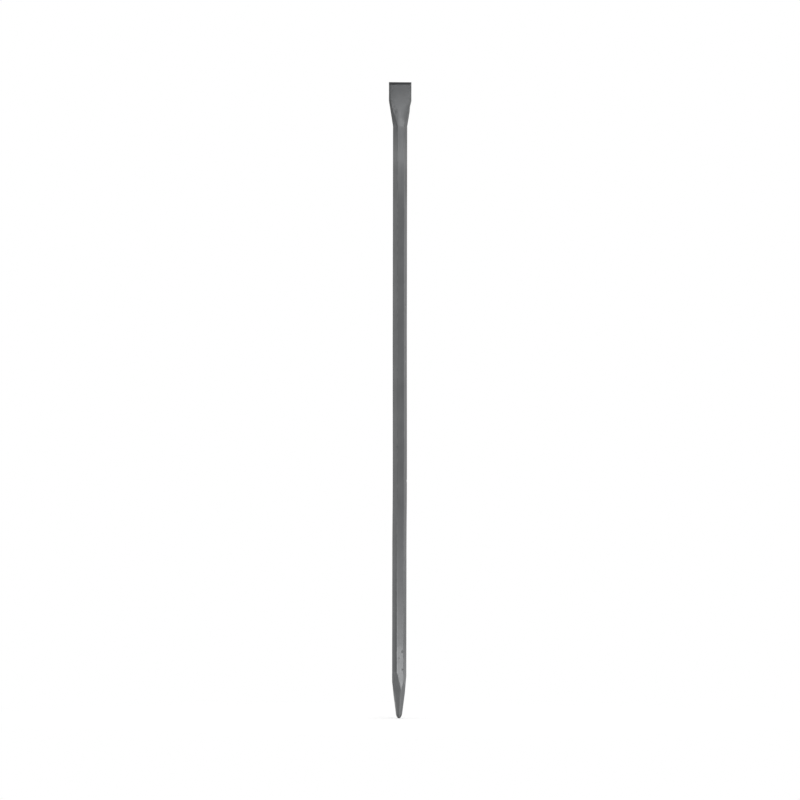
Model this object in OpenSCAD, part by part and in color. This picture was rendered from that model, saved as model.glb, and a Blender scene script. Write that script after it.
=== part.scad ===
// Digging bar: one length of rolled hexagon steel, forged at its two ends.
// The bar stands on its tip along +Z with the cutting edge on top, and the blade is wide along X.

/* [Hexagon bar] */
// Length from the tip of the point to the cutting edge
bar_length = 1500; // [900:10:2000]
// Distance across two opposite flats of the bar
across_flats = 30; // [22:0.5:38]
// Radius that rolling leaves on the corners of the bar
corner_radius = 2; // [0.5:0.1:4]

/* [Chisel end] */
// Width of the blade between its two side corners
blade_width = 54; // [42:0.5:90]
// Length of the straight blade, with its ground bevels
blade_length = 44; // [25:1:120]
// Length over which the hexagon is drawn out to the blade
flare_length = 60; // [30:1:150]
// Thickness of the blade where the flare ends
blade_root_thickness = 13; // [8:0.5:20]
// Thickness of the blade where the bevels start
blade_tip_thickness = 10; // [6:0.5:16]
// Length of the two ground bevels, along the bar
bevel_length = 7; // [3:0.5:20]
// Thickness left at the cutting edge
edge_thickness = 2.5; // [1:0.1:5]
// Radius that forging leaves on the corners of the blade
blade_corner_radius = 0.8; // [0.3:0.1:2]
// Swell of the forged faces across the middle of the flare
flare_crown = 1; // [0:0.1:2]

/* [Point end] */
// Length from the tip to where the six facets start on the corners of the bar
point_length = 108; // [60:1:250]
// Distance across two opposite facets where the nose starts
nose_across = 14; // [8:0.1:20]
// Included angle of the blunt nose
nose_angle = 60; // [40:1:100]
// Radius of the tip
tip_radius = 4.8; // [1:0.1:6]

/* [Smoothness] */
// Steps round each corner of the hexagon
corner_steps = 4; // [2:1:8]
// Steps across the swollen faces of the chisel end
face_steps = 6; // [2:1:12]
// Steps along the flare
flare_steps = 16; // [6:1:40]
// Steps round the tip
tip_steps = 6; // [3:1:12]

/* [Hidden] */

// The corners of every section are those of a hexagon, so they all turn through one angle
turn = 60;
// Distance from the axis to a sharp corner of the bar
corner_reach = across_flats / 2 / cos(turn / 2);
// Heights at which the forms along the chisel end change
neck_z = bar_length - blade_length - flare_length;
root_z = bar_length - blade_length;
bevel_z = bar_length - bevel_length;
// The most of the half thickness that the radius of a corner may take
corner_share = 0.9;

// The nose is a cone that runs into the round tip
half_nose = nose_angle / 2;
tip_edge = [tip_radius * cos(half_nose), tip_radius * (1 - sin(half_nose))];
nose_reach = nose_across / 2 / cos(turn / 2);
nose_length = tip_edge[1] + (nose_reach - tip_edge[0]) / tan(half_nose);
// Lean of the facets towards the axis of the bar
facet_lean = atan((corner_reach - nose_across / 2) / (point_length - nose_length));
// Room by which the cutters stand past what they cut
cut_over = across_flats;

function mix(from, to, share) = from + (to - from) * share;
function ease(share) = share * share * (3 - 2 * share);
function along_flare(z) = min(1, (z - neck_z) / flare_length);

// Half of the width between the two side corners, at a height on the chisel end
function half_width(z) = mix(corner_reach, blade_width / 2, along_flare(z));

// Half of the thickness at a height: an easy curve down the flare, the slim blade, then the bevels
function half_thickness(z) =
    z <= root_z ? mix(across_flats, blade_root_thickness, ease(along_flare(z))) / 2
    : z <= bevel_z ? mix(blade_root_thickness, blade_tip_thickness, (z - root_z) / (bevel_z - root_z)) / 2
    : mix(blade_tip_thickness, edge_thickness, (z - bevel_z) / bevel_length) / 2;

function edge_radius(z) =
    min(mix(corner_radius, blade_corner_radius, along_flare(z)), corner_share * half_thickness(z));

function crown(z) = flare_crown * sin(180 * along_flare(z));

// Round corner number k of a section: the two side corners are 0 and 3
function round_corner(corner, k, radius) =
    let (middle = corner - radius / cos(turn / 2) * [cos(turn * k), sin(turn * k)])
    [for (i = [0 : corner_steps])
        let (angle = turn * (k - 1 / 2 + i / corner_steps))
        middle + radius * [cos(angle), sin(angle)]];

// Swollen face between two round corners, from +X to -X; side is 1 for the back and -1 for the front
function swollen_face(reach, edge_y, swell, steps, side) =
    [for (i = [1 : 1 : steps - 1])
        let (x = reach * (1 - 2 * i / steps))
        side * [x, edge_y + swell * (1 - pow(x / reach, 2))]];

// Hexagon with its two side corners drawn out and its front and back brought together
function section(half_w, half_t, radius, swell, steps) =
    let (edge_y = half_t - swell)
    let (edge_x = half_w - edge_y / tan(turn))
    let (reach = edge_x - radius * tan(turn / 2))
    concat(
        round_corner([half_w, 0], 0, radius),
        round_corner([edge_x, edge_y], 1, radius),
        swollen_face(reach, edge_y, swell, steps, 1),
        round_corner([-edge_x, edge_y], 2, radius),
        round_corner([-half_w, 0], 3, radius),
        round_corner([-edge_x, -edge_y], 4, radius),
        swollen_face(reach, edge_y, swell, steps, -1),
        round_corner([edge_x, -edge_y], 5, radius));

// The rolled bar is the same section, neither drawn out nor swollen
bar_section = section(corner_reach, across_flats / 2, corner_radius, 0, 1);

function chisel_section(z) = section(half_width(z), half_thickness(z), edge_radius(z), crown(z), face_steps);

// The bar's end drawn out to a blade: one skin through the sections at these heights
module chisel_end() {
    flare_heights = [for (i = [0 : flare_steps]) mix(neck_z, root_z, i / flare_steps)];
    heights = concat(flare_heights, [bevel_z, bar_length]);
    count = len(chisel_section(neck_z));
    top = len(heights) - 1;
    points = [for (z = heights) for (p = chisel_section(z)) [p[0], p[1], z]];
    skin = [for (ring = [0 : top - 1]) for (i = [0 : count - 1])
        let (here = ring * count + i)
        let (next = ring * count + (i + 1) % count)
        each [[here, here + count, next + count], [here, next + count, next]]];
    bottom_face = [for (i = [0 : count - 1]) i];
    top_face = [for (i = [count - 1 : -1 : 0]) top * count + i];
    color("dimgray") polyhedron(points, concat([bottom_face], skin, [top_face]));
}

// The plain length of rolled bar, which the hands hold
module hex_shank() {
    color("gray") translate([0, 0, point_length]) linear_extrude(neck_z - point_length) polygon(bar_section);
}

// Block that takes off one corner of the bar along a leaning plane
module facet_cutter(angle) {
    length = point_length + 2 * cut_over;
    rotate(angle) translate([corner_reach, 0, point_length]) rotate([0, facet_lean, 0])
        translate([0, -cut_over, cut_over - length]) cube([2 * cut_over, 2 * cut_over, length]);
}

// Everything inside the blunt nose: a round tip and the cone that runs up from it
module nose_room() {
    tip = [for (i = [0 : tip_steps])
        let (angle = mix(-90, -half_nose, i / tip_steps))
        [tip_radius * cos(angle), tip_radius * (1 + sin(angle))]];
    cone_end = tip_edge + point_length * [tan(half_nose), 1];
    rotate_extrude($fn = 96) polygon(concat(tip, [cone_end, [0, cone_end[1]]]));
}

// The bar's end hammered to six leaning facets, which run out in tongues on the flats of the bar
module point_end() {
    color("darkgray") intersection() {
        difference() {
            linear_extrude(point_length) polygon(bar_section);
            for (k = [0 : 5]) facet_cutter(turn * k);
        }
        nose_room();
    }
}

chisel_end();
hex_shank();
point_end();
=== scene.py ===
import math

import bpy
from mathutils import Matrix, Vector, noise


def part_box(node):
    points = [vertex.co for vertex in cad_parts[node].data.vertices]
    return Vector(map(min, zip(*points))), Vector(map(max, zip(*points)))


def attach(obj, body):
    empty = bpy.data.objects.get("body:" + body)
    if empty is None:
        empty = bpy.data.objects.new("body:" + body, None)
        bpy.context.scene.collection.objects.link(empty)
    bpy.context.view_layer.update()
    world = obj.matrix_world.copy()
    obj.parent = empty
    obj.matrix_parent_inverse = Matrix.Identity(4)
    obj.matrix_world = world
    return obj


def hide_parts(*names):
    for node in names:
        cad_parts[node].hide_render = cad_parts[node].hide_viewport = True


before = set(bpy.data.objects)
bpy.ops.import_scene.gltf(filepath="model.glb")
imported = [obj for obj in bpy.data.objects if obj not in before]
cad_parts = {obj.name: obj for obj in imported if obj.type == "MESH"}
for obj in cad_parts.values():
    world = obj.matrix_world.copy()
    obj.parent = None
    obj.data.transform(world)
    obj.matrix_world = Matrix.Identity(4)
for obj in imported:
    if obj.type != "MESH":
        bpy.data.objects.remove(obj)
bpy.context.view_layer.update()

# Studio
# A pale paper floor under a white surround, with soft boxes round the bar and a long lens in front of it.
# The floor is matt near the tip, where it takes the bar's shadow, and runs out to plain white.
MM = 0.001
SURROUND_COLOUR = "#ffffff"
PAPER_PALE = "#fefefe"
PAPER_DARK = "#fbfbfb"
PAPER_FIBRE = 4 * MM
# In metres: half of the floor's side, and the distances from the tip over which matt turns to plain white
FLOOR_HALF = 12.0
MATT_TO = 0.25
WHITE_FROM = 1.1

scene = bpy.context.scene
scene.view_settings.view_transform = "Standard"


def linear(colour):
    """sRGB hex to linear red, green, blue and alpha."""
    shares = [int(colour[i:i + 2], 16) / 255 for i in (1, 3, 5)]
    return [s / 12.92 if s <= 0.04045 else ((s + 0.055) / 1.055) ** 2.4 for s in shares] + [1.0]


def add(tree, kind, inputs=(), **settings):
    """Adds a node with its own settings; inputs are values for its sockets, or the sockets that feed them."""
    made = tree.nodes.new(kind)
    for name, value in settings.items():
        setattr(made, name, value)
    for name, value in dict(inputs).items():
        if isinstance(value, bpy.types.NodeSocket):
            tree.links.new(value, made.inputs[name])
        else:
            made.inputs[name].default_value = value
    return made


def put(name, data):
    """Adds an object to the scene."""
    made = bpy.data.objects.new(name, data)
    scene.collection.objects.link(made)
    return made


def bare_material(name):
    """A material with no nodes yet."""
    made = bpy.data.materials.new(name)
    made.use_nodes = True
    made.node_tree.nodes.clear()
    return made


def seen_directly(tree):
    """1 for what the camera, a reflection or glass sees, 0 for light that only falls on things."""
    path = add(tree, "ShaderNodeLightPath")
    seen = path.outputs["Is Camera Ray"]
    for ray in ("Is Glossy Ray", "Is Transmission Ray"):
        seen = add(tree, "ShaderNodeMath", {0: seen, 1: path.outputs[ray]}, operation="MAXIMUM").outputs[0]
    return seen


world = bpy.data.worlds.new("white surround")
world.use_nodes = True
scene.world = world
tree = world.node_tree
tree.nodes.clear()
surround = add(tree, "ShaderNodeBackground", {"Color": linear(SURROUND_COLOUR), "Strength": 1.0})
add(tree, "ShaderNodeOutputWorld", {"Surface": surround.outputs[0]})

# The eye sees plain matt paper, with a fibre that hardly shows, fading to white
paper = bare_material("matt white paper")
tree = paper.node_tree
place = add(tree, "ShaderNodeNewGeometry").outputs["Position"]
reach = add(tree, "ShaderNodeVectorMath", {0: place}, operation="LENGTH").outputs["Value"]
far = add(tree, "ShaderNodeMapRange", {"Value": reach, "From Min": MATT_TO, "From Max": WHITE_FROM},
          interpolation_type="SMOOTHSTEP").outputs["Result"]
white = add(tree, "ShaderNodeMath", {0: far, 1: seen_directly(tree)}, operation="MULTIPLY").outputs[0]
fibre = add(tree, "ShaderNodeTexNoise", {"Vector": place, "Scale": 1 / PAPER_FIBRE}).outputs["Fac"]
tone = add(tree, "ShaderNodeMix", {"Factor": fibre, "A": linear(PAPER_DARK), "B": linear(PAPER_PALE)},
           data_type="RGBA").outputs["Result"]
matt = add(tree, "ShaderNodeBsdfDiffuse", {"Color": tone})
plain = add(tree, "ShaderNodeEmission", {"Color": linear(SURROUND_COLOUR), "Strength": 1.0})
chosen = add(tree, "ShaderNodeMixShader", {0: white, 1: matt.outputs[0], 2: plain.outputs[0]})
add(tree, "ShaderNodeOutputMaterial", {"Surface": chosen.outputs[0]})

floor_mesh = bpy.data.meshes.new("floor")
corners = [(x * FLOOR_HALF, y * FLOOR_HALF, 0) for x, y in ((-1, -1), (1, -1), (1, 1), (-1, 1))]
floor_mesh.from_pydata(corners, [], [(0, 1, 2, 3)])
floor_mesh.materials.append(paper)
put("floor", floor_mesh)

# Each soft box: its middle, the point it faces, its width and height in metres, and its watts
SOFT_BOXES = {
    "left_box": ((-2.2, 0.7, 0.85), (0, 0, 0.75), 0.8, 1.9, 3.25),
    "right_box": ((2.06, -0.78, 0.85), (0, 0, 0.75), 0.6, 1.9, 5.1),
    "front_box": ((0.32, -1.97, 0.75), (0, 0, 0.75), 0.5, 1.1, 1.05),
    "low_front_box": ((0.1, -0.6, 0.07), (0, 0, 0.07), 0.3, 0.13, 0.15),
    "low_far_box": ((0.18, -1.1, 0.1), (0, 0, 0.1), 0.8, 0.19, 0.5),
    "high_front_box": ((0.065, -0.4, 1.36), (0, 0, 1.36), 0.15, 0.1, 0.042),
    "over_low_box": ((0.13, -0.8, 1.5), (0, 0, 1.41), 0.2, 0.14, 0.39),
    "over_box": ((0.13, -0.8, 1.86), (0, 0, 1.41), 0.2, 0.26, 0.69),
}
for name, (middle, target, width, height, watts) in SOFT_BOXES.items():
    lamp = bpy.data.lights.new(name, "AREA")
    lamp.shape = "RECTANGLE"
    lamp.size = width
    lamp.size_y = height
    lamp.energy = watts
    box = put(name, lamp)
    box.location = middle
    box.rotation_euler = (Vector(target) - Vector(middle)).to_track_quat("-Z", "Y").to_euler()
    box.visible_camera = False

# The photograph is 800 pixels square and about 2.36 mm a pixel at the bar. The camera stands about 9 degrees
# to the left of the blade's front, and its long lens keeps the edges of the bar parallel.
PHOTO_SIDE = 800
PIXEL = 2.3582 * MM
LENS = 400.0
SENSOR = 36.0
CAMERA_TURN = math.radians(-9.2)
CAMERA_HEIGHT = 750.6 * MM
CAMERA_ASIDE = 0.8 * MM
CAMERA_ROLL = math.radians(-0.096)
distance = PHOTO_SIDE * PIXEL * LENS / SENSOR
back = Vector((math.sin(CAMERA_TURN), -math.cos(CAMERA_TURN), 0))
aside = Vector((math.cos(CAMERA_TURN), math.sin(CAMERA_TURN), 0))
camera_data = bpy.data.cameras.new("camera")
camera_data.lens = LENS
camera_data.sensor_width = SENSOR
camera = put("camera", camera_data)
camera.location = back * distance + aside * CAMERA_ASIDE + Vector((0, 0, CAMERA_HEIGHT))
camera.rotation_euler = (math.pi / 2, CAMERA_ROLL, CAMERA_TURN)
scene.camera = camera

# Shank
# The plain length of the bar, where hands hold it, is hot rolled hexagon steel, still in its thin dark scale.
# Rolling leaves the corners slightly round, the faces faintly wavy, and fine drawn lines along the bar.
# Both ends are forged from the same length of steel, so nothing fixes them to it.
ACROSS_FLATS = 30 * MM
CORNER_RADIUS = 2 * MM
# Steps of the mesh round each corner and across each face, and the bend past which an edge stays sharp
CORNER_STEPS = 4
FACE_STEPS = 14
SHARP_ANGLE = math.radians(35)
# Angle from one corner of the hexagon to the next, in degrees and in radians
TURN_DEGREES = 60
TURN = math.radians(TURN_DEGREES)
corner_reach = ACROSS_FLATS / 2 / math.cos(TURN / 2)


def hump(share):
    """A share that rises from 0 to 1 halfway and falls to 0 again."""
    return 4 * share * (1 - share)


def section(half_width, half_thickness, radius, swell):
    """Points round a hexagon with round corners: its side corners drawn out, its front and back swollen."""
    edge_y = half_thickness - swell
    edge_x = half_width - edge_y / math.tan(TURN)
    corners = [(half_width, 0), (edge_x, edge_y), (-edge_x, edge_y)]
    corners += [(-x, -y) for x, y in corners]
    pull = radius / math.cos(TURN / 2)
    arcs = []
    for number, (x, y) in enumerate(corners):
        middle = Vector((x - pull * math.cos(TURN * number), y - pull * math.sin(TURN * number)))
        angles = [TURN * (number - 0.5 + i / CORNER_STEPS) for i in range(CORNER_STEPS + 1)]
        arcs.append([middle + radius * Vector((math.cos(angle), math.sin(angle))) for angle in angles])
    # The back lies between corners 1 and 2, and the front between corners 4 and 5
    swells = {1: swell, 4: -swell}
    points = []
    for number, arc in enumerate(arcs):
        start = arc[-1]
        end = arcs[(number + 1) % len(arcs)][0]
        points += arc
        for i in range(1, FACE_STEPS):
            share = i / FACE_STEPS
            points.append(start.lerp(end, share) + Vector((0, swells.get(number, 0) * hump(share))))
    return points


def proud(points, z, height):
    """Ring of places at z: the section's points moved out along their normals by height(place), in metres."""
    ring = []
    for i, point in enumerate(points):
        run = points[(i + 1) % len(points)] - points[i - 1]
        out = Vector((run.y, -run.x, 0)).normalized()
        place = Vector((point.x, point.y, z))
        ring.append(place + out * height(place))
    return ring


def skin(name, rings, tip=None):
    """Closed piece through rings of places, from the bottom up, with a flat end or a tip at its foot."""
    count = len(rings[0])
    places = [place for ring in rings for place in ring]
    faces = []
    for low in range(0, count * (len(rings) - 1), count):
        for i in range(count):
            j = (i + 1) % count
            faces.append((low + i, low + j, low + count + j, low + count + i))
    if tip:
        places.append(tip)
        faces += [(len(places) - 1, (i + 1) % count, i) for i in range(count)]
    else:
        faces.append(tuple(reversed(range(count))))
    top = count * (len(rings) - 1)
    faces.append(tuple(range(top, top + count)))
    mesh = bpy.data.meshes.new(name)
    mesh.from_pydata(places, [], faces)
    mesh.shade_smooth()
    mesh.set_sharp_from_angle(angle=SHARP_ANGLE)
    return put(name, mesh)


def write_share(piece, name, share):
    """Keeps share(vertex), from 0 to 1, for each point of a piece. Its material reads it by that name."""
    shares = [share(vertex) for vertex in piece.data.vertices]
    kept = piece.data.attributes.new(name, "FLOAT", "POINT")
    kept.data.foreach_set("value", shares)


def within(value, start, end):
    """Share of the way from start to end, held between 0 and 1."""
    return min(1, max(0, (value - start) / (end - start)))


def mix(start, end, share):
    """The value at a share of the way from start to end."""
    return start + (end - start) * share


def ease(share):
    """A share that starts and ends gently."""
    return share * share * (3 - 2 * share)


def rub(piece, radius):
    """Writes how far points stand out (rubbed) or lie in (hollow): 1 where the mean bend has this radius."""
    mesh = piece.data
    bend = [0.0] * len(mesh.vertices)
    count = [0] * len(mesh.vertices)
    for edge in mesh.edges:
        first, second = (mesh.vertices[i] for i in edge.vertices)
        run = second.co - first.co
        for here, step in ((first, run), (second, -run)):
            bend[here.index] += -2 * here.normal.dot(step) / step.length_squared
            count[here.index] += 1
    bend = [total / number for total, number in zip(bend, count)]
    write_share(piece, "rubbed", lambda vertex: within(bend[vertex.index] * radius, 0, 1))
    write_share(piece, "hollow", lambda vertex: within(-bend[vertex.index] * radius, 0, 1))


def way(turn):
    """Direction out from the axis, by its turn from the right side in degrees."""
    return Vector((math.cos(math.radians(turn)), math.sin(math.radians(turn))))


def on_bar(height, turn, out):
    """Place on the bar by its height in mm, its turn in degrees and its distance from the axis in mm."""
    return Vector((*(way(turn) * out), height)) * MM


def knocked(place, knocks):
    """How deep a place is knocked in, in metres."""
    depth = 0
    for middle, radius, deep, mark in knocks:
        share = (place - middle).length / radius
        if share < 1:
            depth = max(depth, deep * (1 - share * share) ** 2)
    return depth


# Knocks from stones and other tools, most on the right front: each has its middle, radius and depth, and a
# mark that is above 0 for a painted glint on it and below 0 for painted shade in it
KNOCKS = [
    (on_bar(974.0, 320, 15.2), 3 * MM, 0.3 * MM, -0.6),
    (on_bar(970.8, 324, 15.1), 3 * MM, 0.3 * MM, 0.9),
    (on_bar(880.4, 318, 15.3), 3 * MM, 0.3 * MM, 0.7),
    (on_bar(874.5, 314, 15.6), 2.5 * MM, 0.3 * MM, -0.4),
    (on_bar(869.8, 314, 15.6), 2.5 * MM, 0.3 * MM, 0.8),
    (on_bar(841.5, 320, 15.2), 3 * MM, 0.3 * MM, 0.9),
    (on_bar(801.4, 316, 15.2), 2.5 * MM, 0.3 * MM, -0.6),
    (on_bar(801.0, 345, 15.5), 3 * MM, 0.4 * MM, 1),
    (on_bar(158, 291, 16.1), 5 * MM, 0.6 * MM, -0.6),
    (on_bar(115.5, 291, 16.1), 3 * MM, 0.6 * MM, -0.6),
    (on_bar(142, 256, 15.5), 3 * MM, 0.3 * MM, -0.4),
    (on_bar(640, 240, 17.0), 4 * MM, 0.6 * MM, 0),
    (on_bar(1120, 120, 17.0), 4 * MM, 0.7 * MM, 0.3),
    (on_bar(420, 60, 17.0), 5 * MM, 0.8 * MM, 0.3),
    (on_bar(560, 0, 17.0), 4 * MM, 0.7 * MM, -0.4),
]


def knock_painted_light(place):
    """The painted light of the knock at a place, which fades to 0 at its rim."""
    found = 0
    for middle, radius, deep, mark in KNOCKS:
        share = (place - middle).length / radius
        if share < 1:
            found = mark * (1 - share * share)
    return found


# Rolling leaves waves in the faces. The right front corner is rubbed down along its whole length, where the
# bar is laid on it, most near the point, by a depth that changes along a line through the noise.
WAVE_HEIGHT = 0.06 * MM
WAVE_ACROSS = 14 * MM
WAVE_ALONG = 70 * MM
WORN_WAY = way(300)
WORN_DEPTH = 0.4 * MM
WORN_CHANGE = 0.5
WORN_LINE = (3, 5)
LESS_WORN = 0.3
LESS_FROM = 220 * MM
LESS_TO = 330 * MM
rounded_reach = corner_reach - CORNER_RADIUS * (1 / math.cos(TURN / 2) - 1)


def wear_depth(z):
    """How deep the worn corner is rubbed at a height."""
    change = 1 + WORN_CHANGE * noise.noise(Vector((*WORN_LINE, z / WAVE_ALONG)))
    return WORN_DEPTH * change * mix(1, LESS_WORN, within(z, LESS_FROM, LESS_TO))


def worn(place):
    """How much is rubbed off the worn corner at a place."""
    return max(0, place.xy.dot(WORN_WAY) - rounded_reach + wear_depth(place.z))


def rolled(place):
    """Height of the waves that rolling leaves, less the wear and the knocks."""
    wave = noise.noise(Vector((place.x / WAVE_ACROSS, place.y / WAVE_ACROSS, place.z / WAVE_ALONG)))
    return WAVE_HEIGHT * wave - max(worn(place), knocked(place, KNOCKS))


# Steps between the rings of the mesh: along the bar, across a knock, and the least that two rings stay apart
RING_STEP = 6 * MM
KNOCK_STEP = 0.8 * MM
LEAST_STEP = 0.3 * MM
# The radius of bend at which the shank counts as wholly rubbed or wholly hollow
SHANK_RUB = 4 * MM
shank_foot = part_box("hex_shank")[0].z
shank_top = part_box("hex_shank")[1].z
steps = round((shank_top - shank_foot) / RING_STEP)
heights = [mix(shank_foot, shank_top, i / steps) for i in range(steps + 1)]
for middle, radius, deep, mark in KNOCKS:
    reach = int(radius / KNOCK_STEP) + 1
    close = [middle.z + i * KNOCK_STEP for i in range(-reach, reach + 1)]
    heights += [z for z in close if min(abs(z - kept) for kept in heights) > LEAST_STEP]
bar_section = section(corner_reach, ACROSS_FLATS / 2, CORNER_RADIUS, 0)
shank = skin("shank", [proud(bar_section, z, rolled) for z in sorted(heights)])
rub(shank, SHANK_RUB)

# Shares of facing forward or back between which a point goes from a side of the bar to its front or back
FLAT_TURNED = (0.6, 0.9)
# Painted reflections lie in bands below the chisel end: each has its height and reach in mm, then its marks
# on the front and back, and on the sides, above 0 for a painted highlight and below 0 for painted shade
PAINTED_REFLECTION_BANDS = [
    (1326, 36, 0.1, 0.12),
    (1270, 50, 0.03, 0),
    (1243, 36, 0, -0.17),
    (1194, 50, -0.12, 0),
]


def turned(vertex):
    """The way that a point faces, seen from above, so that the rim of a flat end faces as its side does."""
    return vertex.normal.xy.normalized()


def on_flat(vertex):
    """1 on the front and the back of the bar, 0 on its sides."""
    return within(abs(turned(vertex).y), *FLAT_TURNED)


def reflection_band_light(vertex):
    """The painted light of the reflection bands at a point."""
    found = 0
    for height, reach, on_front, on_side in PAINTED_REFLECTION_BANDS:
        off = (vertex.co.z / MM - height) / reach
        found += mix(on_side, on_front, on_flat(vertex)) * max(0, 1 - off * off) ** 2
    return found


# The scale is off along the worn corner, except towards the forged ends. A painted highlight lies on two
# lengths of the right front face
WORN_SHINE = 0.35
WORN_EDGE = WORN_DEPTH / 4
WEAR_FADE = 40 * MM
# The way that this face looks, and the distances out from the axis between which a place comes to lie on it
RIGHT_WAY = way(330)
RIGHT_FROM = 13.8 * MM
RIGHT_TO = 14.7 * MM
RIGHT_FADE = 60 * MM
# Each length by its two ends in mm, and the strength of its painted highlight
RIGHT_FACE_HIGHLIGHTS = [(0, 120, 0.36), (290, 1190, 0.18)]


def wear_and_painted_highlight(place):
    """How far the scale is off the worn corner at a place, with the painted highlight of the right front face
    and the painted light of the knocks.
    """
    foot = within(place.z, shank_foot - WEAR_FADE / 2, shank_foot)
    top = within(place.z, shank_top, shank_top - WEAR_FADE)
    flat = rounded_reach - wear_depth(place.z)
    corner = WORN_SHINE * foot * top * within(place.xy.dot(WORN_WAY), flat - WORN_EDGE, flat)
    right = 0
    for low, high, share in RIGHT_FACE_HIGHLIGHTS:
        above = within(place.z, low * MM - RIGHT_FADE, low * MM)
        below = within(place.z, high * MM + RIGHT_FADE, high * MM)
        right = max(right, share * above * below)
    right *= within(place.xy.dot(RIGHT_WAY), RIGHT_FROM, RIGHT_TO)
    mark = knock_painted_light(place)
    return max(corner, right, mark) * (1 + min(0, mark))


# Painted shade darkens the left front face towards its corner with the front, most near the point and at
# the neck
STRIP_WAY = way(300)
STRIP_FROM = -1 * MM
STRIP_TO = 6 * MM
STRIP_LEFT_TURNED = (0.6, 0.8)
STRIP_FRONT_TURNED = (0.3, 0.45)
STRIP_SHADE = 0.12
FOOT_STRIP_SHADE = 0.5
FOOT_STRIP_TOP = 450 * MM
FOOT_STRIP_FOOT = 200 * MM
NECK_STRIP_SHADE = 0.85
NECK_STRIP_FOOT = 1375 * MM
NECK_STRIP_MOST = 1400 * MM
NECK_STRIP_TOP = 1418 * MM


def strip_shade(vertex):
    """How dark the painted shade of the strip on the left front face is at a point."""
    z = vertex.co.z
    share = mix(STRIP_SHADE, FOOT_STRIP_SHADE, within(z, FOOT_STRIP_TOP, FOOT_STRIP_FOOT))
    share = mix(share, NECK_STRIP_SHADE, within(z, NECK_STRIP_FOOT, NECK_STRIP_MOST))
    share *= within(z, NECK_STRIP_TOP, NECK_STRIP_MOST)
    left = within(-turned(vertex).x, *STRIP_LEFT_TURNED)
    front = within(-turned(vertex).y, *STRIP_FRONT_TURNED)
    return share * left * front * within(vertex.co.xy.dot(STRIP_WAY), STRIP_FROM, STRIP_TO)


# A painted highlight brightens the front towards the foot, most along its left corner and from just above the
# point down
FRONT_TURNED = (0.9, 0.97)
FRONT_SHINE = 0.38
FRONT_TOP = 500 * MM
FRONT_FOOT = 120 * MM
EDGE_WAY = way(240)
EDGE_FROM = 15.8 * MM
EDGE_TO = 16.5 * MM
EDGE_SHINE = 0.24
EDGE_TOP = 500 * MM
EDGE_FOOT = 250 * MM
PATCH_SHINE = 0.16
PATCH_TOP = 172 * MM
PATCH_FOOT = 166 * MM


def foot_painted_highlight(vertex):
    """How strong the painted highlight on the front near the foot is at a point."""
    z = vertex.co.z
    front = within(-turned(vertex).y, *FRONT_TURNED) * (1 + min(0, knock_painted_light(vertex.co)))
    whole = FRONT_SHINE * within(z, FRONT_TOP, FRONT_FOOT)
    on_edge = within(vertex.co.xy.dot(EDGE_WAY), EDGE_FROM, EDGE_TO)
    line = EDGE_SHINE * on_edge * within(z, EDGE_TOP, EDGE_FOOT)
    patch = PATCH_SHINE * within(z, PATCH_TOP, PATCH_FOOT)
    return front * (whole + line + patch)


# Painted shade darkens the two sides of the neck, most on the left, and fades down the bar
LEFT_SHADE = 0.7
RIGHT_SHADE = 0.2
NECK_SHADE = 0.4
SHADE_FADE = 50 * MM
SIDE_REACH = 10 * MM
SIDE_TURNED = (0.4, 0.7)


def side_shade(vertex):
    """How dark the painted shade of the neck is on the side that a point faces."""
    side = within(vertex.co.x, -SIDE_REACH, SIDE_REACH)
    return mix(LEFT_SHADE, RIGHT_SHADE, side) * within(abs(turned(vertex).x), *SIDE_TURNED)


def shank_wear_and_highlight(vertex):
    """How far the scale is off a point of the shank, with the painted highlights on it."""
    return max(wear_and_painted_highlight(vertex.co), reflection_band_light(vertex), foot_painted_highlight(vertex))


def shank_painted_shade(vertex):
    """How dark the painted shade of the shank is at a point."""
    neck = NECK_SHADE * side_shade(vertex) * ease(within(vertex.co.z, shank_top - SHADE_FADE, shank_top))
    return max(neck, strip_shade(vertex), -knock_painted_light(vertex.co), -reflection_band_light(vertex))


# The front and the back are scuffed near the point, where stones rub them
SCUFFED_FROM = 140 * MM
SCUFFED_TO = 230 * MM


def shank_scuffs(vertex):
    """How far the front and the back of the shank are scuffed at a point."""
    return within(vertex.co.z, SCUFFED_TO, SCUFFED_FROM) * on_flat(vertex)


write_share(shank, "wear_and_highlight", shank_wear_and_highlight)
write_share(shank, "painted_shade", shank_painted_shade)
write_share(shank, "scuffed", shank_scuffs)

# No bar that has been pried with is quite straight: this one stands a little to the right below its middle
BEND = 0.7 * MM
BEND_TOP = 950 * MM
BEND_MIDDLE = 560 * MM
BEND_FOOT = 400 * MM
for vertex in shank.data.vertices:
    above = ease(within(vertex.co.z, BEND_TOP, BEND_MIDDLE))
    below = ease(within(vertex.co.z, BEND_FOOT, BEND_MIDDLE))
    vertex.co.x += BEND * above * below

# Hot rolled steel in its own scale: a thin grey oxide with a soft gloss over it. The eye sees a nearly even
# dark grey, faint lines along the bar, and paler steel where it is rubbed.
SCALE_DARK = "#565758"
SCALE_PALE = "#5d5e5f"
# The darker colour is thick scale in the hollows and also painted shade; the paler is bare steel and also
# painted highlights
THICK_SCALE_AND_SHADE = "#393a3b"
BARE_STEEL_AND_HIGHLIGHT = "#8a8b8c"
MOTTLE = 45 * MM
MOTTLE_DETAIL = 3.0
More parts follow.
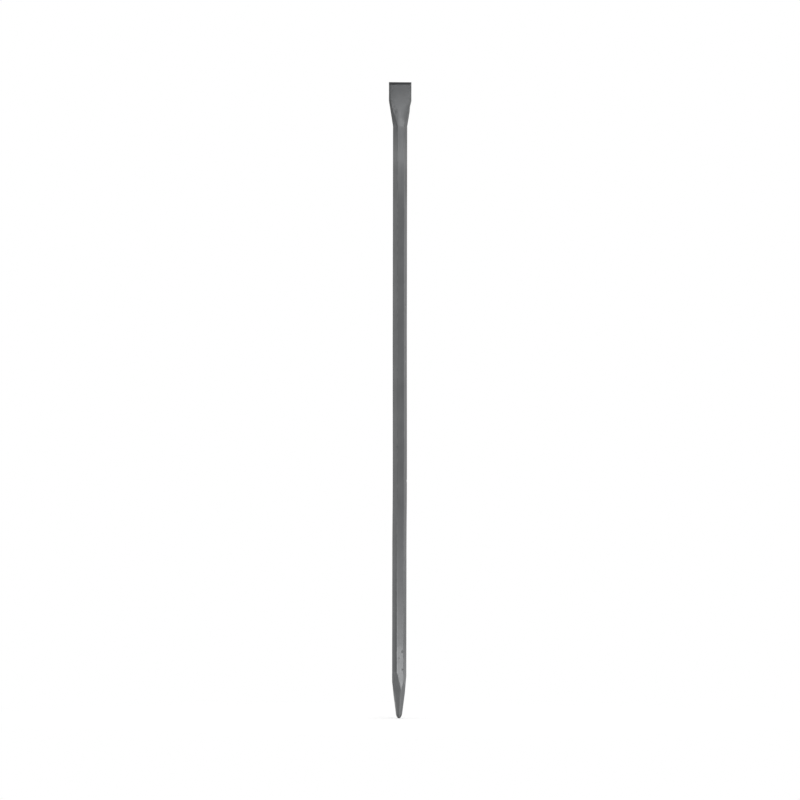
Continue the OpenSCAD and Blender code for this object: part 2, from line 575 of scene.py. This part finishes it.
# Lines and grain are finer than this on a real bar, and are drawn coarser so that they show
LINE_WIDTH = 1.6 * MM
LINE_LENGTH = 90 * MM
GRAIN = 1.5 * MM
FINE_SHARE = 0.4
SCUFF_WIDTH = 4 * MM
SCUFF_LENGTH = 14 * MM
TONE_RANGE = {"From Min": 0.3, "From Max": 0.7}
SCUFF_RANGE = {"From Min": 0.5, "From Max": 0.58}
ROUGH_RANGE = {"To Min": 0.40, "To Max": 0.32}
METALLIC = 0.85
BUMP_STRENGTH = 0.5
BUMP_HEIGHT = 0.05 * MM
ROLLED_LINES = 0.8
# The shares that colour the steel evenly, in the order they are laid on, each with its colour and its limit
EVEN_SHARES = [
    # The first share is painted shade; the last holds worn steel and painted highlights
    ("painted_shade", THICK_SCALE_AND_SHADE, 1.0),
    ("rubbed", BARE_STEEL_AND_HIGHLIGHT, 0.08),
    ("hollow", THICK_SCALE_AND_SHADE, 0.8),
    ("wear_and_highlight", BARE_STEEL_AND_HIGHLIGHT, 1.0),
]
# The shares that bare the steel in scuffs, each with its limit
SCUFFED_SHARES = [("rubbed", 0.2), ("scuffed", 0.13)]


def scaled_steel(name, line_share):
    """Steel in its scale; line_share says how far the drawn lines show in place of forged grain."""
    made = bare_material(name)
    tree = made.node_tree
    place = add(tree, "ShaderNodeTexCoord").outputs["Object"]
    drawn = add(tree, "ShaderNodeVectorMath", {0: place, 1: (1, 1, LINE_WIDTH / LINE_LENGTH)},
                operation="MULTIPLY").outputs["Vector"]
    mottle = add(tree, "ShaderNodeTexNoise", {"Vector": place, "Scale": 1 / MOTTLE,
                                              "Detail": MOTTLE_DETAIL}).outputs["Fac"]
    lines = add(tree, "ShaderNodeTexNoise", {"Vector": drawn, "Scale": 1 / LINE_WIDTH}).outputs["Fac"]
    grain = add(tree, "ShaderNodeTexNoise", {"Vector": place, "Scale": 1 / GRAIN}).outputs["Fac"]
    fine = add(tree, "ShaderNodeMix", {"Factor": line_share, "A": grain, "B": lines}).outputs["Result"]
    mixed = add(tree, "ShaderNodeMix", {"Factor": FINE_SHARE, "A": mottle, "B": fine}).outputs["Result"]
    spread = add(tree, "ShaderNodeMapRange", {"Value": mixed, **TONE_RANGE}).outputs["Result"]
    tone = add(tree, "ShaderNodeMix", {"Factor": spread, "A": linear(SCALE_DARK), "B": linear(SCALE_PALE)},
               data_type="RGBA").outputs["Result"]
    stretched = add(tree, "ShaderNodeVectorMath", {0: place, 1: (1, 1, SCUFF_WIDTH / SCUFF_LENGTH)},
                    operation="MULTIPLY").outputs["Vector"]
    scuff = add(tree, "ShaderNodeTexNoise", {"Vector": stretched, "Scale": 1 / SCUFF_WIDTH}).outputs["Fac"]
    # Scuffs are laid over the even colours, and show in patches
    layers = list(EVEN_SHARES)
    for share_name, most in SCUFFED_SHARES:
        patch = add(tree, "ShaderNodeMapRange",
                    {"Value": scuff, **SCUFF_RANGE, "To Max": most}).outputs["Result"]
        layers.append((share_name, BARE_STEEL_AND_HIGHLIGHT, patch))
    for share_name, colour, most in layers:
        share = add(tree, "ShaderNodeAttribute", attribute_name=share_name).outputs["Fac"]
        part = add(tree, "ShaderNodeMath", {0: share, 1: most}, operation="MULTIPLY").outputs[0]
        tone = add(tree, "ShaderNodeMix", {"Factor": part, "A": tone, "B": linear(colour)},
                   data_type="RGBA").outputs["Result"]
    rough = add(tree, "ShaderNodeMapRange", {"Value": mixed, **TONE_RANGE, **ROUGH_RANGE}).outputs["Result"]
    bump = add(tree, "ShaderNodeBump", {"Height": fine, "Strength": BUMP_STRENGTH,
                                        "Distance": BUMP_HEIGHT}).outputs["Normal"]
    shader = add(tree, "ShaderNodeBsdfPrincipled", {"Base Color": tone, "Metallic": METALLIC,
                                                    "Roughness": rough, "Normal": bump})
    add(tree, "ShaderNodeOutputMaterial", {"Surface": shader.outputs[0]})
    return made


rolled_steel = scaled_steel("hot rolled steel in scale", ROLLED_LINES)
shank.data.materials.append(rolled_steel)
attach(shank, "root")
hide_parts("hex_shank")

# Chisel end
# The top of the bar is drawn out hot under the hammer to a flat blade, then ground on both sides to a blunt
# cutting edge and hardened. The hexagon's corners run up into the blade's corners.
BLADE_WIDTH = 54 * MM
BLADE_LENGTH = 44 * MM
BLADE_ROOT_THICKNESS = 13 * MM
BLADE_TIP_THICKNESS = 10 * MM
BEVEL_LENGTH = 7 * MM
EDGE_THICKNESS = 2.5 * MM
BLADE_CORNER_RADIUS = 0.8 * MM
# The most of the thickness that the radius of a corner may take
CORNER_SHARE = 0.45
FLARE_CROWN = 1 * MM
# How far the flare thins along a straight line in place of an easy curve
FLARE_STRAIGHT = 0.4
neck_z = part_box("chisel_end")[0].z
edge_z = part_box("chisel_end")[1].z
root_z = edge_z - BLADE_LENGTH
bevel_z = edge_z - BEVEL_LENGTH


def chisel_section(z):
    """Points round the chisel end at a height."""
    flare = within(z, neck_z, root_z)
    half_width = mix(corner_reach, BLADE_WIDTH / 2, flare)
    thickness = mix(ACROSS_FLATS, BLADE_ROOT_THICKNESS, mix(ease(flare), flare, FLARE_STRAIGHT))
    thickness = mix(thickness, BLADE_TIP_THICKNESS, within(z, root_z, bevel_z))
    thickness = mix(thickness, EDGE_THICKNESS, within(z, bevel_z, edge_z))
    radius = min(mix(CORNER_RADIUS, BLADE_CORNER_RADIUS, flare), CORNER_SHARE * thickness)
    return section(half_width, thickness / 2, radius, FLARE_CROWN * math.sin(math.pi * flare))


# The hammer leaves overlapping dishes, with this share of their depth, HAMMER_LEVEL, below the plain face
HAMMER_MARK = 15 * MM
HAMMER_DEPTH = 0.15 * MM
HAMMER_LEVEL = 0.3
HAMMER_FADE = 8 * MM
# Nicks along the corners of the flare and the blade, most on the left, in the same form as the knocks and
# with no mark
NICKS = [
    (Vector((-21.5, -6.5, 1455)) * MM, 5 * MM, 0.7 * MM, 0),
    (Vector((-17.5, -8.5, 1443)) * MM, 4 * MM, 0.6 * MM, 0),
    (Vector((-14.0, -11.0, 1430)) * MM, 6 * MM, 0.7 * MM, 0),
    (Vector((-23.0, -5.5, 1476)) * MM, 4 * MM, 0.4 * MM, 0),
    (Vector((22.0, -6.0, 1462)) * MM, 5 * MM, 0.5 * MM, 0),
    (Vector((24.0, 0, 1443)) * MM, 14 * MM, 0.9 * MM, 0),
    (Vector((18.0, 8.5, 1446)) * MM, 6 * MM, 0.7 * MM, 0),
]


def hammered(place):
    """Height of the overlapping dishes that the hammer leaves."""
    nearest = noise.voronoi(place / HAMMER_MARK)[0][0]
    return HAMMER_DEPTH * (nearest * nearest - HAMMER_LEVEL)


def forged(place):
    """Height of the hammer marks on the chisel end, which fade out at the shank and at the ground bevels."""
    fade = within(place.z, neck_z, neck_z + HAMMER_FADE) * within(place.z, bevel_z, bevel_z - HAMMER_FADE)
    rolled_on = rolled(place) * within(place.z, neck_z + HAMMER_FADE, neck_z)
    return hammered(place) * fade + rolled_on - knocked(place, NICKS)


# Rings along the flare, the blade and the bevel, with two more that keep the start of the bevel crisp
FLARE_RINGS = 40
BLADE_RINGS = 24
BEVEL_RINGS = 8
BEVEL_BELOW = 0.4 * MM
BEVEL_ABOVE = 0.3 * MM
# The cutting edge is chipped, by a depth that changes along a line through the noise
EDGE_CHIP = 0.08 * MM
CHIP_LENGTH = 5 * MM
CHIP_LINE = (0, 7)
# The radius of bend at which a forged end counts as wholly rubbed or wholly hollow
FORGED_RUB = 2 * MM
heights = [mix(neck_z, root_z, i / FLARE_RINGS) for i in range(FLARE_RINGS)]
heights += [mix(root_z, bevel_z, i / BLADE_RINGS) for i in range(BLADE_RINGS)]
heights += [mix(bevel_z, edge_z, i / BEVEL_RINGS) for i in range(BEVEL_RINGS + 1)]
heights += [bevel_z - BEVEL_BELOW, bevel_z + BEVEL_ABOVE]
rings = [proud(chisel_section(z), z, forged) for z in sorted(heights)]
for place in rings[-1]:
    place.z -= EDGE_CHIP * max(0, noise.noise(Vector((place.x / CHIP_LENGTH, *CHIP_LINE))))
chisel = skin("chisel_end_forged", rings)
rub(chisel, FORGED_RUB)

# Painted shade darkens the bevel, from a line a little higher towards the right, and more painted shade
# darkens the blade below it
BEVEL_LIFT = 2.4 * MM
LIFT_FROM = -15 * MM
LIFT_TO = -5 * MM
BEVEL_SOFTNESS = 0.5 * MM
BLADE_SHADE = 0.45
BLADE_SHADE_DROP = 10 * MM
NECK_RUN = 15 * MM
# A painted highlight lies on the front of the neck
NECK_HIGHLIGHT = Vector((2, -14.5, 1404)) * MM
NECK_HIGHLIGHT_REACH = 13 * MM
NECK_HIGHLIGHT_SHARE = 0.22


def chisel_painted_shade(vertex):
    """How dark the painted shade of the chisel end is at a point: on the bevel, down the blade, and on the
    sides of the flare.
    """
    z = vertex.co.z
    ground_from = bevel_z + BEVEL_LIFT * within(vertex.co.x, LIFT_FROM, LIFT_TO)
    bevel = within(z, ground_from - BEVEL_SOFTNESS, ground_from + BEVEL_SOFTNESS)
    blade_dark = BLADE_SHADE * within(z, root_z - BLADE_SHADE_DROP, bevel_z - BLADE_SHADE_DROP)
    neck = mix(NECK_SHADE, 1, ease(within(z, neck_z, neck_z + NECK_RUN)))
    side = neck * side_shade(vertex) * within(z, bevel_z, root_z)
    return max(bevel, blade_dark, side, strip_shade(vertex))


def neck_highlight(vertex):
    """How strong the painted highlight on the front of the neck is at a point."""
    return NECK_HIGHLIGHT_SHARE * max(0, 1 - ((vertex.co - NECK_HIGHLIGHT).length / NECK_HIGHLIGHT_REACH) ** 2)


write_share(chisel, "painted_shade", chisel_painted_shade)
write_share(chisel, "wear_and_highlight", neck_highlight)

# Forged steel in its scale: the eye sees the same grey oxide, but with grain where the hammer has broken the
# drawn lines
FORGED_LINES = 0.25
forged_steel = scaled_steel("forged steel in scale", FORGED_LINES)
chisel.data.materials.append(forged_steel)
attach(chisel, "root")
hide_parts("chisel_end")

# Point end
# The foot of the bar is hammered hot to six leaning facets, one on each corner of the hexagon, and its tip is
# left blunt and hardened. The flats of the bar run out in tongues between the facets, which no smith makes
# quite alike.

# Each facet by its turn from the right side in degrees: where it starts above the tip, how far out it is at
# the nose, and how far it is hammered hollow, or left round where this is below 0, all in mm. The last value
# is a mark, above 0 for a painted highlight on the facet and below 0 for painted shade on it.
FACETS = {
    0: (102, 6.7, 0, 0),
    60: (105, 6.8, 0.3, 0.1),
    120: (77, 8.1, 0, 0.2),
    180: (88, 7.2, 0.6, -0.8),
    240: (112, 7.1, 0.75, 0.15),
    300: (90, 6.8, -0.05, 0.4),
}
NOSE_Z = 11 * MM
NOSE_HALF_ANGLE = math.radians(30)
TIP_RADIUS = 4.8 * MM
FACET_SOFTNESS = 0.5 * MM
FACET_FADE = 20 * MM
# A facet cuts only the places that face its way by more than this share
FACET_SIGHT = 0.3
# The hammer has left the tip a little to the left of the axis
TIP_ASIDE = -0.5 * MM
TIP_ASIDE_TOP = 14 * MM
point_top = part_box("point_end")[1].z
tip_edge_out = TIP_RADIUS * math.cos(NOSE_HALF_ANGLE)
tip_edge_z = TIP_RADIUS * (1 - math.sin(NOSE_HALF_ANGLE))


def soft_least(one, other, softness):
    """The lesser of two distances, with the edge between them rounded."""
    close = max(0, softness - abs(one - other))
    return min(one, other) - close * close / (4 * softness) if close else min(one, other)


def facet_out(angle, z):
    """Distance of a facet from the axis at a height."""
    start, at_nose, hollow, mark = FACETS[angle]
    share = (z - NOSE_Z) / (start * MM - NOSE_Z)
    return mix(at_nose * MM, corner_reach, share) - hollow * MM * max(0, hump(share))


def facing(turn, angle):
    """How far a turn in radians goes the way of a facet: 1 when it points the same way."""
    return math.cos(turn - math.radians(angle))


def tip_aside(z):
    """How far the tip stands off the axis at a height."""
    return TIP_ASIDE * ease(within(z, TIP_ASIDE_TOP, 0))


def point_ring(z):
    """Ring of the point at z: the bar's own section, cut by the facets and the nose."""
    if z < tip_edge_z:
        nose = math.sqrt(max(0, 2 * TIP_RADIUS * z - z * z))
    else:
        nose = tip_edge_out + (z - tip_edge_z) * math.tan(NOSE_HALF_ANGLE)
    softness = FACET_SOFTNESS * within(z, point_top, point_top - FACET_FADE)
    fade = within(z, point_top, point_top - HAMMER_FADE) * within(z, NOSE_Z, NOSE_Z + HAMMER_FADE)
    rolled_on = within(z, point_top - HAMMER_FADE, point_top)
    ring = []
    for point in bar_section:
        turn = math.atan2(point.y, point.x)
        out = point.length
        for angle in FACETS:
            if facing(turn, angle) > FACET_SIGHT:
                out = soft_least(out, facet_out(angle, z) / facing(turn, angle), softness)
        out = soft_least(out, nose, softness) if z > tip_edge_z else min(out, nose)
        out_way = Vector((math.cos(turn), math.sin(turn), 0))
        place = out * out_way + Vector((0, 0, z))
        mark = hammered(place) * fade + rolled(place) * rolled_on
        ring.append(place + mark * out_way + Vector((tip_aside(z), 0, 0)))
    return ring


# Rings along the round tip, the nose up to a little above its top, and the facets
TIP_STEPS = 8
NOSE_RINGS = 24
FACET_RINGS = 100
NOSE_OVER = 3 * MM
nose_top = NOSE_Z + NOSE_OVER
tip_tilt = math.pi / 2 - NOSE_HALF_ANGLE
heights = [TIP_RADIUS * (1 - math.cos(tip_tilt * i / TIP_STEPS)) for i in range(1, TIP_STEPS + 1)]
heights += [mix(tip_edge_z, nose_top, i / NOSE_RINGS) for i in range(1, NOSE_RINGS + 1)]
heights += [mix(nose_top, point_top, i / FACET_RINGS) for i in range(1, FACET_RINGS + 1)]
point = skin("point_end_forged", [point_ring(z) for z in heights], tip=Vector((tip_aside(0), 0, 0)))
rub(point, FORGED_RUB)

# Painted highlights lie on the ridges between the facets and on the front tongue. Painted shade darkens the
# tip, and the scuffs of the shank run on over the facets and thin out towards it.
FACET_RIM = (0.6 * MM, 0.2 * MM)
RIDGE_SHINE = 0.5
RIDGE_WIDTH = 2.5 * MM
RIDGE_TOP = 80 * MM
RIDGE_FADE = 30 * MM
TONGUE_SHINE = 0.25
TONGUE_TURNED = (0.96, 0.99)
TONGUE_FROM = 92 * MM
TONGUE_TO = 75 * MM
TIP_DARK_FROM = 10 * MM
TIP_DARK_TO = 5 * MM
LEAST_SCUFFED = 0.3
LEAST_SCUFFED_TO = 50 * MM


def facet_painted_light(place):
    """The painted light of a facet at a place, which fades to 0 at its rim and towards the shank."""
    turn = math.atan2(place.y, place.x)
    angle = round(math.degrees(turn) / TURN_DEGREES) % len(FACETS) * TURN_DEGREES
    inside = facet_out(angle, place.z) - place.xy.length * facing(turn, angle)
    mark = FACETS[angle][-1]
    return mark * within(inside, *FACET_RIM) * within(place.z, point_top, point_top - FACET_FADE)


def point_wear_and_highlight(vertex):
    """How far the scale is off a point of the foot, with painted highlights on facets, ridges, worn faces and
    the front tongue.
    """
    place = vertex.co
    # The ridges lie halfway between the facets
    turn = math.atan2(place.y, place.x)
    off_ridge = place.xy.length * abs(math.sin(abs(turn) % TURN - TURN / 2))
    ridge = RIDGE_SHINE * within(off_ridge, RIDGE_WIDTH, 0)
    ridge *= within(place.z, RIDGE_TOP, RIDGE_TOP - RIDGE_FADE)
    forward = within(-turned(vertex).y, *TONGUE_TURNED)
    tongue = TONGUE_SHINE * forward * within(place.z, TONGUE_FROM, TONGUE_TO)
    return max(facet_painted_light(place), ridge, wear_and_painted_highlight(place), foot_painted_highlight(vertex) + tongue)


def point_painted_shade(vertex):
    """How dark the painted shade of the foot is at a point: on its strip, on a shaded facet, and at the tip.
    """
    tip = within(vertex.co.z, TIP_DARK_FROM, TIP_DARK_TO)
    return max(strip_shade(vertex), -facet_painted_light(vertex.co), tip)


def point_scuffs(vertex):
    """How far the foot is scuffed at a point."""
    return mix(LEAST_SCUFFED, 1, within(vertex.co.z, LEAST_SCUFFED_TO, point_top))


write_share(point, "painted_shade", point_painted_shade)
write_share(point, "wear_and_highlight", point_wear_and_highlight)
write_share(point, "scuffed", point_scuffs)
point.data.materials.append(forged_steel)
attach(point, "root")
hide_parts("point_end")
